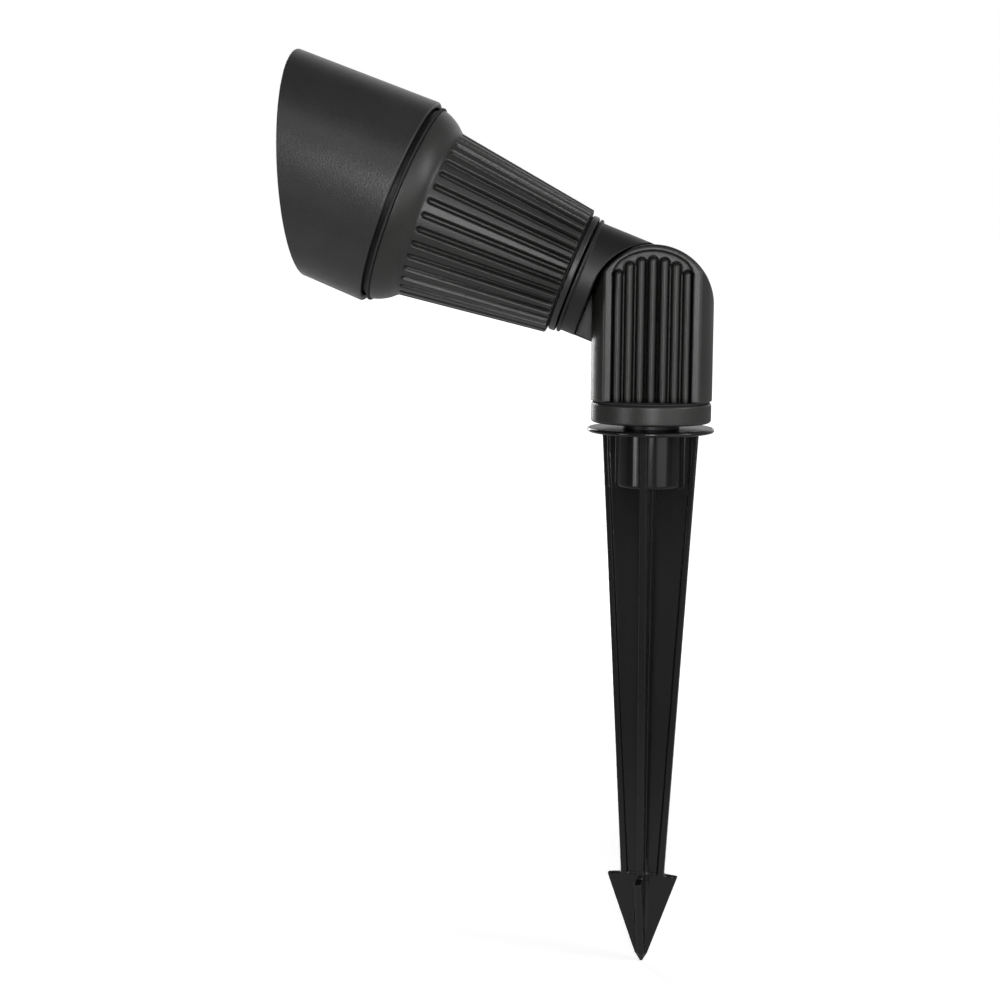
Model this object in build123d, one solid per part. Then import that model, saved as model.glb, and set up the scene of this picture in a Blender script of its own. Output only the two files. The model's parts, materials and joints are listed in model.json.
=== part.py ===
from build123d import *
import os
from math import atan2, cos, radians, sin, sqrt

# Garden spike spotlight, in millimetres.
# The origin is the centre of the underside of the spike's flange, which rests on the soil.
# +Z points up, and the head points to -X, tilted up by head_tilt.
# The head's pieces are drawn in the head frame: its origin is on the pivot axis, its Z runs
# along the head towards the lens, its X points to the upper side, and its Y is the world's Y.

os.makedirs("parts", exist_ok=True)

# ---- Fits and clearances ----
same_body_gap = 0.05        # between pieces that are assembled tight
axis_r = 0.01               # a ring that reaches its axis, so in effect a disc
running_gap = 0.06          # radial play of a turning or sliding fit
free_gap = 0.35             # between parts that move past each other
hole_spare = 0.3            # extra depth of a blind hole
overshoot = 1.0             # how far a cutter reaches past what it cuts

# ---- Spike ----
flange_r = 23.1
flange_thick = 1.6
flange_round = 0.6
spike_length = 200.6        # from the flange's underside to the tip
spike_turn = -7.0           # degrees that the fins are turned about Z
fin_top_half_width = 17.6
fin_bottom_half_width = 8.1
fin_thick = 1.7
fin_rim_thick = 2.6
fin_rim_width = 2.4
barb_half_width = 13.2
barb_length = 34.2
barb_top_drop = 0.5         # how far a barb's outer corner hangs below its inner one
barb_thick = 2.6
fin_rim_straight = 8.0      # how far below the flange a rim's inner edge stays upright
core_r = 3.2                # thickest part of the point's core
core_neck_r = 1.2           # where the core starts among the fins
core_start = 8.0            # above the barbs
tip_half_width = 2.2
tip_blunt = 3.0
tip_end_r = 0.5
socket_wall = 1.8
socket_depth = 20.1
socket_floor = 1.4
socket_edge_round = 1.0

# ---- Cable outlet in the spike's socket ----
outlet_r = 3.6
outlet_rim_wall = 1.6
outlet_rim_proud = 1.6
outlet_direction = 45.0     # degrees from a fin

# ---- Threaded stem between the spike and the knuckle ----
stem_r = 10.45              # half-inch pipe thread
stem_bore_r = 6.5
stem_in_spike = 10.0
stem_in_knuckle = 10.5
stem_chamfer = 0.8
spike_gap = 2.0             # between the flange and the collar

# ---- Collar and its gasket ----
collar_step = 0.2           # knuckle's radius less the collar's
collar_height = 7.3
collar_round = 1.0
collar_gasket_step = 0.8
collar_gasket_thick = 0.6

# ---- Lower knuckle ----
knuckle_r = 22.0
stem_roof = 2.75            # between the stem's hole and the room for the upper half
thread_wall = 1.05          # between the stem's thread and the pocket's floor
crown_round = 1.6
half_joint = 0.6            # from the middle plane to each half's inner face
pocket_depth = 2.1
pocket_side_margin = 2.9    # land beside the pocket
pocket_top_margin = 2.1     # land above the pocket
pocket_corner_round = 8.0   # where the pocket's sides run into its round top
rib_count = 7
rib_end_margin = 1.9        # between the ribs' rounded ends and the pocket's edge
rib_spacing = 0.06          # between neighbouring ribs
lead_bore_r = 3.0
lead_chamber_r = 9.5        # round chamber about the pivot, where the leads pass
lead_chamber_depth = 6.0
lead_way_wall = 0.8         # between a half's inner face and its lead bore
lead_way_end = 1.0          # between a lead bore's end and the pivot's boss
pivot_boss_r = 4.6

# ---- Pivot screw ----
screw_r = 2.5
screw_head_r = 4.75
screw_head_height = 2.75
screw_head_round = 1.2
screw_socket_flats = 3.0
screw_socket_depth = 1.8
screw_end_wall = 1.3        # between the screw's end and the pocket's floor
counterbore_r = 5.3
lock_washer_thick = 1.2
lock_washer_r = 4.4
lock_washer_split = 0.8
lock_washer_play = 0.3
lock_washer_turn = 20.0     # degrees that the split points away from straight up
pivot_gasket_thick = 0.85
pivot_gasket_inset = 1.5    # from the lead chamber
pivot_gasket_step = 1.6     # neck's radius less the gasket's

# ---- Upper knuckle ----
neck_step = 1.4             # knuckle's radius less the neck's
neck_reach = 5.7            # from the knuckle's arch to the bead
bead_r = 21.6
bead_width = 1.3
bead_round = 0.5
spigot_r = 9.9
spigot_length = 11.0
spigot_wall = 2.4
neck_floor = 2.0            # between the knuckle's arch and the spigot's bore
tilt_lowest = 0.0           # degrees above the horizontal
tilt_highest = 120.0
head_tilt = 21.6

# ---- Lock ring and gasket at the neck ----
lock_ring_r = 21.9
lock_ring_width = 2.5
lock_ring_round = 0.6
lock_ring_gap = 0.5         # shadow line between the bead and the lock ring
neck_gasket_r = 21.0
neck_gasket_thick = 0.6

# ---- Lamp housing ----
cone_rear_r = 23.6
lamp_rear_room = 7.7        # for the leads, between the spigot and the lamp's socket
shoulder_step = 1.0         # the shoulder's edge above the barrel
shoulder_rise = 5.1         # from the cone's front end to the shoulder's edge
shoulder_length = 8.6
shoulder_half = 0.45        # the share of its length at which the shoulder's fullness is given
shoulder_swell = 0.62       # the share of its rise that it has there
shoulder_waist_round = 3.0  # hollow between the shoulder and the cone
housing_wall = 2.8
housing_rear_wall = 5.2
rear_edge_round = 0.5
groove_count = 36
groove_width = 1.6
groove_depth = 1.5          # at the rear end
groove_front_depth = 0.9
groove_start = 1.2          # between the shoulder and the grooves' front ends
groove_runout = 8.0         # how far the cutter runs on past the cone's rear end
barrel_wall = 2.75          # beside the lens
barrel_length = 16.9
lens_recess_depth = 6.5
lamp_recess_depth = 5.0
ledge_thick = 2.0
barrel_chamfer = 0.6

# ---- Seals between the housing and the cowl ----
lip_seal_height = 1.7       # above the barrel
lip_seal_width = 0.9
lip_seal_round = 0.3
cowl_seal_section = 0.85    # radius of the O-ring's section
cowl_seal_from_lip = 7.5
cowl_seal_play = 0.1        # along the head, each side of the seal

# ---- Cowl ----
cowl_play = 1.0             # between barrel and cowl, which the seal fills
cowl_taper = 1.1            # how much smaller the radius is at the long side's front
cowl_wall = 2.0
cowl_rear_gap = 1.7         # between the lip seal and the cowl's rear edge
cowl_top_length = 55.4
cowl_bottom_length = 22.9
cowl_edge_round = 0.8
cowl_turned = -8.0          # degrees about the head, as the photograph has it set
cowl_stop_thick = 1.2
cowl_stop_height = 1.6

# ---- Lens and what holds it ----
lens_r = 32.2
lens_thick = 3.0
lens_play = 0.35
lens_chamfer = 0.4
lens_gasket_thick = 1.2
lens_gasket_width = 4.6
lens_ring_thick = 1.7
lens_ring_width = 3.6
lens_ring_notch = 3.0
lens_ring_notch_floor = 0.6

# ---- Lamp, 50 mm reflector size with two pins ----
lamp_rim_r = 25.3
lamp_rim_thick = 2.5
lamp_rim_step = 1.4         # the rim's radius less the bowl's
lamp_recess_play = 0.9
ledge_reach = 0.9
lamp_wall = 0.6
lamp_socket_gap = 0.1
lamp_neck_r = 9.5
lamp_length = 46.0
lamp_base_length = 9.0
lamp_base_width = 16.15
lamp_base_thick = 9.0
lamp_base_overlap = 2.0     # how far the neck comes down over the base
lamp_neck_length = 7.0
lamp_bowl_half = 12.0       # depth below the rim at which the bowl's width is given
lamp_bowl_share = 0.8       # the share of its radius that it has there
lamp_pin_sunk = 3.0
optic_inset = 1.6
optic_thick = 1.4
optic_lenslet_count = 3
optic_lenslet_r = 6.5
optic_lenslet_circle_r = 11.0
optic_lenslet_height = 1.1
lamp_clip_section = 0.8
lamp_clip_opening = 40.0    # degrees
pin_r = 0.75
pin_spacing = 5.33
pin_length = 7.0
lamp_socket_width = 22.0
lamp_socket_depth = 12.0
lamp_socket_height = 10.0
lamp_socket_round = 2.0
lamp_socket_hole_r = 1.6
lamp_socket_hole_place = 8.0    # from the middle

# ---- Places worked out from the sizes above ----
collar_foot_z = flange_thick + spike_gap
knuckle_foot_z = collar_foot_z + collar_height + collar_gasket_thick
neck_r = knuckle_r - neck_step
half_floor = neck_r + free_gap      # how far below the pivot the room for the upper half starts
pivot_rise = stem_in_knuckle + stem_roof + half_floor
pivot_z = knuckle_foot_z + pivot_rise
collar_r = knuckle_r - collar_step
collar_gasket_r = knuckle_r - collar_gasket_step
face_half = stem_r + thread_wall + pocket_depth     # from the middle to each flat face
screw_bite = face_half - pocket_depth - screw_end_wall
lead_y = half_joint + lead_way_wall + lead_bore_r
neck_start = knuckle_r + neck_reach
pivot_gasket_r = neck_r - pivot_gasket_step
socket_bore_r = stem_r + running_gap
socket_r = socket_bore_r + socket_wall
face_half_width = sqrt(knuckle_r**2 - face_half**2)
screw_seat_y = face_half - screw_head_height - lock_washer_thick - 2 * same_body_gap
ring_rear = neck_start + bead_width + lock_ring_gap
housing_rear = ring_rear + lock_ring_width + neck_gasket_thick
lamp_stack = lamp_socket_gap + lamp_socket_height + lamp_length - lamp_rim_thick
cone_length = (
    neck_start + bead_width + spigot_length + lamp_rear_room + lamp_stack
    + lens_recess_depth + lamp_recess_depth - barrel_length - shoulder_length - housing_rear
)
cone_front = housing_rear + cone_length
shoulder_front = cone_front + shoulder_length
barrel_front = shoulder_front + barrel_length
lens_seat = barrel_front - lens_recess_depth
lamp_seat = lens_seat - lamp_recess_depth
lens_recess_r = lens_r + lens_play
barrel_r = lens_recess_r + barrel_wall
shoulder_r = barrel_r + shoulder_step
cone_front_r = shoulder_r - shoulder_rise
lip_seal_r = barrel_r + lip_seal_height
cowl_bore_r = barrel_r + cowl_play
cowl_r = cowl_bore_r + cowl_wall
cowl_front_r = cowl_r - cowl_taper
cowl_rear = shoulder_front + lip_seal_width + cowl_rear_gap
cowl_seal_place = shoulder_front + lip_seal_width + cowl_seal_from_lip
cowl_seal_r = barrel_r + running_gap + cowl_seal_section
lamp_recess_r = lamp_rim_r + lamp_recess_play
ledge_r = lamp_rim_r - ledge_reach      # the ledge that the lamp's rim lies on
bowl_r = lamp_rim_r - lamp_rim_step
head_frame = Plane(
    origin=(0, 0, pivot_z),
    x_dir=(sin(radians(head_tilt)), 0, cos(radians(head_tilt))),
    z_dir=(-cos(radians(head_tilt)), 0, sin(radians(head_tilt))),
)

up = (Align.CENTER, Align.CENTER, Align.MIN)
down = (Align.CENTER, Align.CENTER, Align.MAX)


def turned(outline):
    """A solid of revolution about Z from (radius, height) points."""
    profile = Plane.XZ * make_face(Polyline(*outline, close=True))
    return revolve(profile, Axis.Z)


def ring(outer_r, inner_r, low, high):
    """A plain flat ring about Z."""
    return turned([(inner_r, low), (outer_r, low), (outer_r, high), (inner_r, high)])


def rounded_ring(outer_r, inner_r, low, high, edge_round):
    """A ring whose two outer edges are rounded."""
    outline = make_face(
        Polyline((inner_r, low), (outer_r, low), (outer_r, high), (inner_r, high), close=True)
    )
    outer_corners = outline.vertices().sort_by(Axis.X)[-2:]
    return revolve(Plane.XZ * fillet(outer_corners, edge_round), Axis.Z)


def disc(radius, low, high):
    """A plain disc or cylinder about Z."""
    return Pos(0, 0, low) * Cylinder(radius, high - low, align=up)


def cross_pin(radius, low, high):
    """A cylinder about the pivot's axis, from y = low to y = high, at the origin's height."""
    return Pos(0, low, 0) * Rotation(-90, 0, 0) * Cylinder(radius, high - low, align=up)


def arch(half_width, top_r, corner_round=0.0):
    """An arch about the origin: a strip under a round top, reaching down to the knuckle's foot."""
    strip = Pos(0, (top_r - pivot_rise) / 2) * Rectangle(2 * half_width, top_r + pivot_rise)
    crown = Circle(top_r) + Pos(0, -pivot_rise) * Rectangle(2 * top_r, 2 * pivot_rise)
    outline = strip & crown
    if corner_round:
        corners = outline.vertices().filter_by(lambda corner: corner.Y > 0)
        outline = fillet(corners, corner_round)
    return outline


# ---- Spike ----
def make_fin():
    """One fin in the XZ half-plane x > 0, with a thick outer rim and its barb."""
    barb_z = -(spike_length - barb_length)
    rim_inner_top = fin_top_half_width - fin_rim_width
    rim_inner_bottom = fin_bottom_half_width - fin_rim_width
    web = Polyline((0, 0), (fin_top_half_width, 0), (fin_bottom_half_width, barb_z), (0, barb_z), close=True)
    rim = Polyline(
        (rim_inner_top, 0), (fin_top_half_width, 0), (fin_bottom_half_width, barb_z),
        (rim_inner_bottom, barb_z), (rim_inner_top, -fin_rim_straight), close=True,
    )
    barb = Polyline(
        (0, barb_z), (fin_bottom_half_width, barb_z), (barb_half_width, barb_z - barb_top_drop),
        (tip_half_width, -spike_length + tip_blunt), (tip_end_r, -spike_length), (0, -spike_length),
        close=True,
    )
    fin = extrude(Plane.XZ * make_face(web), fin_thick / 2, both=True)
    fin += extrude(Plane.XZ * make_face(rim), fin_rim_thick / 2, both=True)
    fin += extrude(Plane.XZ * make_face(barb), barb_thick / 2, both=True)
    return fin


def make_spike():
    barb_z = -(spike_length - barb_length)
    fin = make_fin()
    body = rounded_ring(flange_r, axis_r, 0, flange_thick, flange_round)
    body += rounded_ring(socket_r, axis_r, -socket_depth, flange_thick, socket_edge_round)
    for quarter in range(4):
        body += Rotation(0, 0, 90 * quarter) * fin
    # The core that the barbs grow from: it swells from among the fins and ends in the point.
    body += turned([
        (0, barb_z + core_start), (core_neck_r, barb_z + core_start),
        (core_r, barb_z - barb_length / 2), (tip_end_r, -spike_length), (0, -spike_length),
    ])
    # The crossed barbs run out in a round point.
    body &= turned([
        (0, -spike_length), (tip_end_r, -spike_length), (tip_half_width, -spike_length + tip_blunt),
        (2 * flange_r, barb_z), (2 * flange_r, flange_thick), (0, flange_thick),
    ])
    body -= disc(socket_bore_r, -socket_depth + socket_floor, flange_thick + overshoot)
    outlet_z = -socket_depth + socket_floor + outlet_r + outlet_rim_wall / 4
    outlet = Rotation(0, 0, outlet_direction) * Pos(0, 0, outlet_z) * Rotation(0, 90, 0)
    rim_end = socket_r + outlet_rim_proud
    rim = outlet * Cylinder(outlet_r + outlet_rim_wall, rim_end, align=up)
    body += rim - disc(socket_r - socket_wall / 2, -2 * socket_depth, flange_thick)
    body -= outlet * Cylinder(outlet_r, rim_end + overshoot, align=up)
    return Rotation(0, 0, spike_turn) * body


# ---- Stem, collar and lower knuckle ----
def make_stem():
    low = -stem_in_spike
    high = knuckle_foot_z + stem_in_knuckle
    return turned([
        (stem_bore_r, low), (stem_r - stem_chamfer, low), (stem_r, low + stem_chamfer),
        (stem_r, high - stem_chamfer), (stem_r - stem_chamfer, high), (stem_bore_r, high),
    ])


def make_collar():
    inner_r = stem_r + same_body_gap
    return rounded_ring(collar_r, inner_r, collar_foot_z, collar_foot_z + collar_height, collar_round)


def make_collar_gasket():
    low = collar_foot_z + collar_height
    return ring(collar_gasket_r, stem_r + same_body_gap, low, low + collar_gasket_thick)


def make_ribs():
    """Half-round ribs that stand in a face's pocket, with ball-shaped upper ends."""
    pitch = 2 * (face_half_width - pocket_side_margin) / rib_count
    rib_r = (pitch - rib_spacing) / 2
    ends_r = knuckle_r - pocket_top_margin - rib_end_margin
    ribs = None
    for number in range(rib_count):
        x = (number - (rib_count - 1) / 2) * pitch
        top = sqrt(ends_r**2 - x**2) - rib_r
        rib = Pos(x, 0, -pivot_rise) * Cylinder(rib_r, pivot_rise + top, align=up)
        rib += Pos(x, 0, top) * Sphere(rib_r)
        ribs = rib if ribs is None else ribs + rib
    return ribs


def ribbed_pocket(body):
    """Sinks the arched pocket into the body's face at y = face_half and stands the ribs in it."""
    pocket = arch(face_half_width - pocket_side_margin, knuckle_r - pocket_top_margin, pocket_corner_round)
    sink = extrude(Plane.XZ * pocket, pocket_depth + overshoot, both=True)
    body -= Pos(0, face_half + overshoot, 0) * sink
    return body + Pos(0, face_half - pocket_depth, 0) * make_ribs()


def lead_chamber():
    """The ring-shaped room about the pivot that a half leaves for the leads, for y > 0."""
    deep = half_joint + lead_chamber_depth
    return cross_pin(lead_chamber_r, 0, deep) - cross_pin(pivot_boss_r, -overshoot, deep + overshoot)


def make_lower_knuckle():
    """Drawn about the pivot with its ribbed face towards +Y, then turned and moved to its place."""
    body = Pos(0, 0, -pivot_rise) * Cylinder(knuckle_r, pivot_rise + knuckle_r, align=up)
    body &= extrude(Plane.XZ * arch(knuckle_r, knuckle_r), face_half, both=True)
    crown_edges = body.edges().filter_by(lambda edge: edge.center().Z > 0)
    face_edges = body.edges().filter_by(Axis.Z)
    body = ribbed_pocket(fillet(crown_edges + face_edges, crown_round))
    # Room for the upper knuckle's half.
    room_height = half_floor + knuckle_r + overshoot
    room = Pos(0, half_joint, -half_floor) * Box(
        3 * knuckle_r, 3 * knuckle_r, room_height, align=(Align.CENTER, Align.MAX, Align.MIN)
    )
    body -= room
    body -= cross_pin(screw_r + running_gap, 0, screw_bite + hole_spare)
    body -= lead_chamber()
    # The way of the leads, down into the stem, and the stem's thread.
    lead_way = Cylinder(lead_bore_r, pivot_rise - pivot_boss_r - lead_way_end, align=up)
    body -= Pos(0, lead_y, -pivot_rise) * lead_way
    thread_top = -pivot_rise + stem_in_knuckle + hole_spare
    body -= disc(stem_r + same_body_gap, -pivot_rise - overshoot, thread_top)
    return Pos(0, 0, pivot_z) * Rotation(0, 0, 180) * body


# ---- Pivot screw ----
def make_pivot_screw():
    low = -screw_bite
    seat = screw_seat_y + lock_washer_thick + 2 * same_body_gap
    head = Pos(0, seat, 0) * Rotation(-90, 0, 0) * rounded_button(screw_head_r, screw_head_height)
    key = extrude(RegularPolygon(screw_socket_flats / sqrt(3), 6), screw_socket_depth + overshoot)
    top = seat + screw_head_height
    head -= Pos(0, top - screw_socket_depth, 0) * Rotation(-90, 0, 0) * key
    shank = cross_pin(screw_r, low, seat)
    return Pos(0, 0, pivot_z) * (head + shank)


def rounded_button(radius, height):
    """A low screw head with a rounded upper edge, standing on z = 0."""
    head = disc(radius, 0, height)
    top_edge = head.edges().sort_by(Axis.Z)[-1]
    return fillet(top_edge, screw_head_round)


def make_lock_washer():
    """A spring washer with its split."""
    inner_r = screw_r + lock_washer_play
    low = screw_seat_y + same_body_gap
    washer = cross_pin(lock_washer_r, low, low + lock_washer_thick)
    washer -= cross_pin(inner_r, 0, face_half)
    split = Box(lock_washer_split, 2 * face_half, 2 * lock_washer_r, align=up)
    washer -= Rotation(0, lock_washer_turn, 0) * split
    return Pos(0, 0, pivot_z) * washer


def make_pivot_gasket():
    """The flat seal between the halves, which lies on the upper one."""
    inner_r = lead_chamber_r + pivot_gasket_inset
    body = cross_pin(pivot_gasket_r, half_joint - pivot_gasket_thick, half_joint)
    body -= cross_pin(inner_r, -face_half, face_half)
    return head_frame * body


# ---- Upper knuckle and what clamps it ----
def swept_half():
    """The outline that the lower knuckle's half takes up in the head frame over the whole tilt."""
    clear_r = knuckle_r + free_gap
    outline = Circle(clear_r)
    for tilt in (tilt_lowest, tilt_highest):
        # The world's downward direction, seen in the head frame's XZ plane.
        strip = Pos(0, -2 * knuckle_r) * Rectangle(2 * clear_r, 4 * knuckle_r)
        outline += Rotation(0, 0, tilt - 90) * strip
    return outline


def make_upper_knuckle():
    """Drawn in the head frame: a neck with one half of the joint, on the far side."""
    top = neck_start + bead_width
    body = disc(neck_r, 0, neck_start) + cross_pin(neck_r, half_joint, face_half)
    body &= Pos(0, 0, -neck_r) * Box(2 * neck_r, 4 * neck_r, 4 * neck_r, align=up)
    # The near side stops short of the lower half, and the far side is as flat as the near one.
    body -= Pos(0, half_joint, 0) * extrude(Plane.XZ * swept_half(), 2 * neck_r)
    far_side = Box(
        4 * neck_r, neck_r, 2 * neck_r + knuckle_r, align=(Align.CENTER, Align.MIN, Align.MAX)
    )
    body -= Pos(0, face_half, knuckle_r) * far_side
    body += rounded_ring(bead_r, axis_r, neck_start, top, bead_round)
    body += disc(spigot_r, neck_start, top + spigot_length)
    # The screw's seat and hole.
    body -= cross_pin(counterbore_r, screw_seat_y, face_half + overshoot)
    body -= cross_pin(screw_r + running_gap, -overshoot, face_half)
    # The way of the leads, from the chamber to the housing.
    body -= lead_chamber()
    body -= Pos(0, lead_y, pivot_boss_r + lead_way_end) * Cylinder(lead_bore_r, 2 * neck_r, align=up)
    body -= disc(spigot_r - spigot_wall, knuckle_r + neck_floor, top + spigot_length + overshoot)
    return head_frame * body


def make_neck_lock_ring():
    low = ring_rear
    body = rounded_ring(lock_ring_r, spigot_r + same_body_gap, low, low + lock_ring_width, lock_ring_round)
    return head_frame * body


def make_neck_gasket():
    low = ring_rear + lock_ring_width
    return head_frame * ring(neck_gasket_r, spigot_r + same_body_gap, low, housing_rear)


# ---- Lamp housing ----
def make_housing_shell():
    """The turned form: rear wall, cone, rounded shoulder and the barrel under the cowl."""
    cone_slope = (cone_front_r - cone_rear_r) / cone_length
    cavity_rear = housing_rear + housing_rear_wall
    cavity_rear_r = cone_rear_r + cone_slope * housing_rear_wall - housing_wall
    bend_r = cone_front_r + shoulder_swell * shoulder_rise
    bend_z = cone_front + shoulder_half * shoulder_length
    outline = [
        Line((spigot_r + same_body_gap, housing_rear), (cone_rear_r - rear_edge_round, housing_rear)),
        Line((cone_rear_r - rear_edge_round, housing_rear), (cone_rear_r, housing_rear + rear_edge_round)),
        Line((cone_rear_r, housing_rear + rear_edge_round), (cone_front_r, cone_front)),
        ThreePointArc((cone_front_r, cone_front), (bend_r, bend_z), (shoulder_r, shoulder_front)),
        Polyline(
            (shoulder_r, shoulder_front), (barrel_r, shoulder_front),
            (barrel_r, barrel_front - barrel_chamfer), (barrel_r - barrel_chamfer, barrel_front),
            (lens_recess_r, barrel_front), (lens_recess_r, lens_seat), (lamp_recess_r, lens_seat),
            (lamp_recess_r, lamp_seat), (ledge_r, lamp_seat), (ledge_r, lamp_seat - ledge_thick),
            (cone_front_r - housing_wall, cone_front), (cavity_rear_r, cavity_rear),
            (spigot_r + same_body_gap, cavity_rear), (spigot_r + same_body_gap, housing_rear),
        ),
    ]
    profile = make_face(outline)
    waist = profile.vertices().sort_by_distance((cone_front_r, cone_front))[0]
    return revolve(Plane.XZ * fillet(waist, shoulder_waist_round), Axis.Z)


def make_groove():
    """One groove of the cone: a slot with a round front end, which deepens towards the rear."""
    cone_angle = atan2(cone_front_r - cone_rear_r, cone_length)
    floor_angle = cone_angle + atan2(groove_depth - groove_front_depth, cone_length)
    run = cone_length + groove_runout
    slot = Rectangle(run, groove_width) + Pos(run / 2, 0) * Circle(groove_width / 2)
    cutter = extrude(Pos(-run / 2, 0) * slot, 2 * groove_depth)
    front = groove_start + groove_width / 2
    front_r = cone_front_r - front * sin(cone_angle) / cos(cone_angle)
    floor = Plane(
        origin=(front_r, 0, cone_front - front),
        x_dir=(sin(floor_angle), 0, cos(floor_angle)),
        z_dir=(cos(floor_angle), 0, -sin(floor_angle)),
    )
    return floor * Pos(0, 0, -groove_front_depth) * cutter


def make_lamp_housing():
    shell = make_housing_shell()
    groove = make_groove()
    grooves = [Rotation(0, 0, 360 / groove_count * number) * groove for number in range(groove_count)]
    return head_frame * (shell - grooves)


# ---- Seals, cowl and lens ----
def make_lip_seal():
    low = shoulder_front + same_body_gap
    body = rounded_ring(lip_seal_r, barrel_r + same_body_gap, low, low + lip_seal_width, lip_seal_round)
    return head_frame * body


def make_cowl_seal():
    section = Pos(cowl_seal_r, cowl_seal_place) * Circle(cowl_seal_section)
    return head_frame * revolve(Plane.XZ * section, Axis.Z)


def make_cowl():
    """A tube with a slanted front, a stop inside it and a groove for its seal."""
    top_z = cowl_rear + cowl_top_length
    bottom_z = cowl_rear + cowl_bottom_length
    beyond_z = top_z + 5 * overshoot
    beyond_r = cowl_r - (cowl_r - cowl_front_r) * (beyond_z - cowl_rear) / cowl_top_length
    stop_z = barrel_front + free_gap
    groove_r = cowl_seal_r + cowl_seal_section + running_gap
    groove_half = cowl_seal_section + cowl_seal_play
    wall = make_face(Polyline(
        (cowl_bore_r, cowl_rear), (cowl_r, cowl_rear), (beyond_r, beyond_z),
        (beyond_r - cowl_wall, beyond_z),
        (cowl_bore_r, stop_z + cowl_stop_thick), (cowl_bore_r - cowl_stop_height, stop_z + cowl_stop_thick),
        (cowl_bore_r - cowl_stop_height, stop_z), (cowl_bore_r, stop_z),
        (cowl_bore_r, cowl_seal_place + groove_half), (groove_r, cowl_seal_place + groove_half),
        (groove_r, cowl_seal_place - groove_half), (cowl_bore_r, cowl_seal_place - groove_half),
        close=True,
    ))
    rear_corner = wall.vertices().sort_by(Axis.Y)[:2].sort_by(Axis.X)[-1]
    body = revolve(Plane.XZ * fillet(rear_corner, cowl_edge_round), Axis.Z)
    # The slanted front: everything beyond the line from the long upper side to the short lower one.
    beyond = make_face(Polyline(
        (-2 * cowl_r, bottom_z - (top_z - bottom_z) / 2), (2 * cowl_r, top_z + (top_z - bottom_z) / 2),
        (2 * cowl_r, 3 * top_z), (-2 * cowl_r, 3 * top_z),
        close=True,
    ))
    body -= extrude(Plane.XZ * beyond, 2 * cowl_r, both=True)
    return head_frame * Rotation(0, 0, cowl_turned) * body


def make_lens_gasket():
    low = lens_seat
    return head_frame * ring(lens_r, lens_r - lens_gasket_width, low, low + lens_gasket_thick)


def make_lens():
    low = lens_seat + lens_gasket_thick
    body = disc(lens_r, low, low + lens_thick)
    return head_frame * chamfer(body.edges().filter_by(GeomType.CIRCLE), lens_chamfer)


def make_lens_ring():
    low = lens_seat + lens_gasket_thick + lens_thick
    body = ring(lens_recess_r - same_body_gap, lens_r - lens_ring_width, low, low + lens_ring_thick)
    notch = Pos(lens_r - lens_ring_width, 0, low + lens_ring_notch_floor) * Box(
        lens_ring_notch, lens_ring_notch, lens_ring_thick, align=up
    )
    for side in (0, 180):
        body -= Rotation(0, 0, side) * notch
    return head_frame * body


# ---- Lamp ----
def make_lamp_body():
    """The lamp's bowl, with its rim, neck and square pin base, open at the front."""
    rim_top = lamp_seat + lamp_rim_thick
    optic_rear = rim_top - optic_inset - optic_thick
    base_rear = rim_top - lamp_length
    neck_rear = base_rear + lamp_base_length - lamp_base_overlap
    neck_front = neck_rear + lamp_neck_length
    bend = (bowl_r * lamp_bowl_share, lamp_seat - lamp_bowl_half)
    outline = [
        Polyline((0, neck_rear), (lamp_neck_r, neck_rear), (lamp_neck_r, neck_front)),
        ThreePointArc((lamp_neck_r, neck_front), bend, (bowl_r, lamp_seat)),
        Polyline(
            (bowl_r, lamp_seat), (lamp_rim_r, lamp_seat), (lamp_rim_r, rim_top),
            (bowl_r - lamp_wall, rim_top), (bowl_r - lamp_wall, optic_rear), (0, optic_rear),
            (0, neck_rear),
        ),
    ]
    body = revolve(Plane.XZ * make_face(outline), Axis.Z)
    body += Pos(0, 0, base_rear) * Box(lamp_base_width, lamp_base_thick, lamp_base_length, align=up)
    for side in (-1, 1):
        body -= Pos(0, side * pin_spacing / 2, base_rear) * Cylinder(pin_r, 2 * lamp_pin_sunk)
    return head_frame * body


def make_lamp_optic():
    low = lamp_seat + lamp_rim_thick - optic_inset - optic_thick
    body = disc(bowl_r - lamp_wall - same_body_gap, low, low + optic_thick)
    dome_r = (optic_lenslet_r**2 + optic_lenslet_height**2) / (2 * optic_lenslet_height)
    for number in range(optic_lenslet_count):
        turn = Rotation(0, 0, 360 / optic_lenslet_count * number)
        dome = Pos(0, 0, low + optic_thick + optic_lenslet_height - dome_r) * Sphere(dome_r)
        dome &= disc(optic_lenslet_r, low + optic_thick / 2, low + optic_thick + 2 * optic_lenslet_height)
        body += turn * Pos(optic_lenslet_circle_r, 0, 0) * dome
    return head_frame * body


def make_lamp_pins():
    base_rear = lamp_seat + lamp_rim_thick - lamp_length
    pins = []
    for side in (-1, 1):
        pin = disc(pin_r, base_rear - pin_length, base_rear + lamp_pin_sunk)
        pins.append(head_frame * Pos(0, side * pin_spacing / 2, 0) * pin)
    return Compound(pins)


def make_lamp_socket():
    """The ceramic block that the pins are pushed into."""
    front = lamp_seat + lamp_rim_thick - lamp_length - lamp_socket_gap
    body = Pos(0, 0, front) * Box(lamp_socket_depth, lamp_socket_width, lamp_socket_height, align=down)
    body = fillet(body.edges().filter_by(Axis.Z), lamp_socket_round)
    for side in (-1, 1):
        pin_hole = disc(pin_r + same_body_gap, front - pin_length - overshoot, front + overshoot)
        screw_hole = disc(lamp_socket_hole_r, front - lamp_socket_height - overshoot, front + overshoot)
        body -= Pos(0, side * pin_spacing / 2, 0) * pin_hole
        body -= Pos(0, side * lamp_socket_hole_place, 0) * screw_hole
    return head_frame * body


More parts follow.
